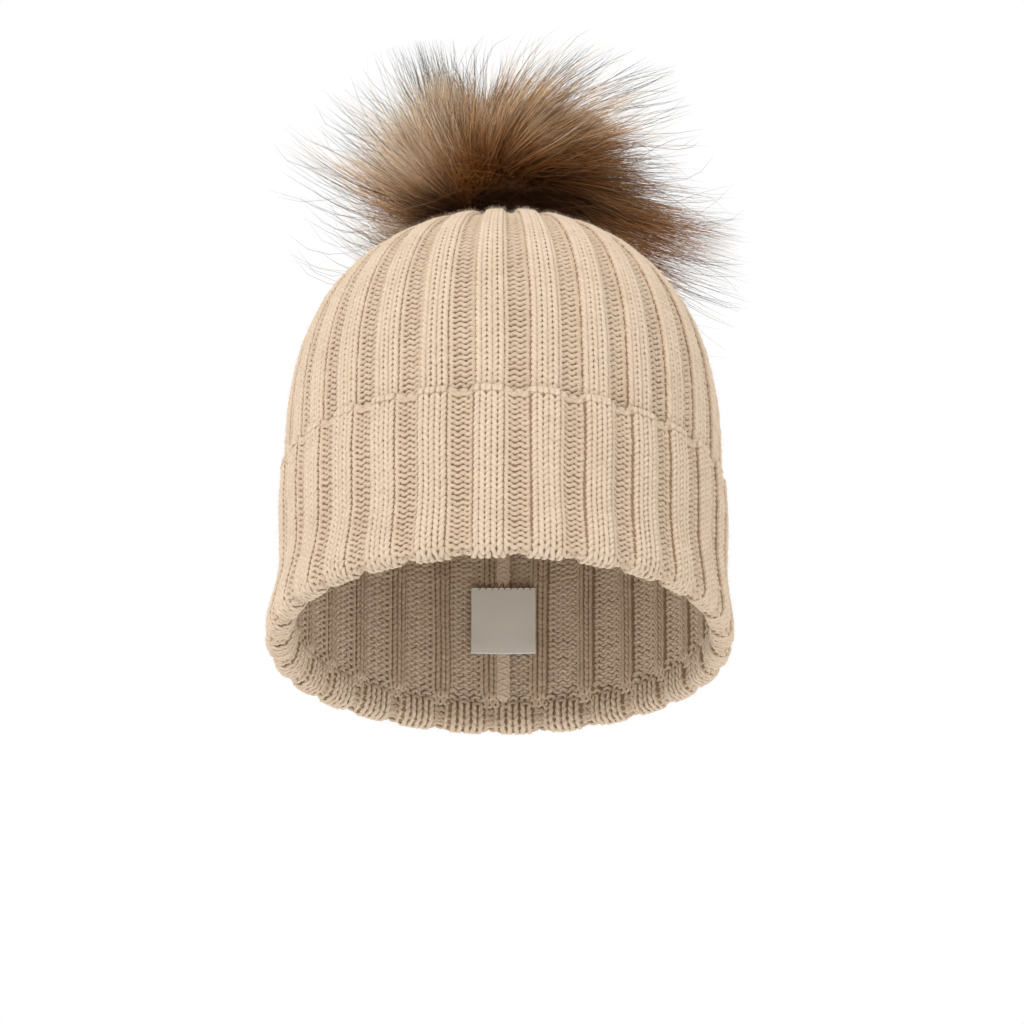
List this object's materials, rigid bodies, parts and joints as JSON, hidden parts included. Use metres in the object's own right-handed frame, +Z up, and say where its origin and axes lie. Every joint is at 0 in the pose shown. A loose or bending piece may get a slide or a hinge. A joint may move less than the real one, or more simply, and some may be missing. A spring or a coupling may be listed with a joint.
{
  "type": "knitted pom-pom beanie",
  "caption": "Rib-knit wool beanie with a deep turned-up cuff and a large fur pom-pom held on a press stud at the crown, worn tipped back on the head.",
  "frame": {"origin": "centre of the rim opening, in the plane of the fold that the cuff turns on", "axes": "+Z up as worn, -Y towards the front of the head, +X towards the viewer's right when facing the hat's front; the hat's own axis leans back 20 degrees about X"},
  "size_m": [0.188, 0.246, 0.2835],
  "materials": {
    "wool": "matte",
    "yarn": "matte",
    "felt": "matte",
    "nickel": "satin",
    "spring_steel": "satin",
    "hide": "matte",
    "fill": "matte",
    "base_disc": "matte",
    "thread": "matte",
    "fur": "satin",
    "label": "satin"
  },
  "bodies": {
    "hat": {"knit_crown": "wool", "knit_cuff": "wool", "back_seam": "yarn", "crown_gather_yarn": "yarn", "felt_backing": "felt", "snap_cap": "nickel", "snap_stud": "nickel", "label_stitch": "thread"},
    "label": {"care_label": "label"},
    "snap_spring": {"socket_spring": "spring_steel"},
    "pom": {"snap_socket": "nickel", "socket_cap": "nickel", "pom_base_disc": "base_disc", "pom_pelt": "hide", "pom_stuffing": "fill", "pom_drawstring": "thread", "pom_underfur": "fur", "pom_guard_hair": "fur"}
  },
  "joints": [
    {"name": "pom_pull", "type": "slide", "parent": "hat", "child": "snap_spring", "axis": [0, 0.342, 0.9397], "range_m": [0, 0.05]},
    {"name": "pom_turn", "type": "hinge", "parent": "snap_spring", "child": "pom", "pos_m": [0, 0.06218, 0.17084], "axis": [0, 0.342, 0.9397], "continuous": true},
    {"name": "label_flap", "type": "hinge", "parent": "hat", "child": "label", "pos_m": [0, 0.11642, 0.02148], "axis": [-1, 0, 0], "range_deg": [0, 60]}
  ]
}
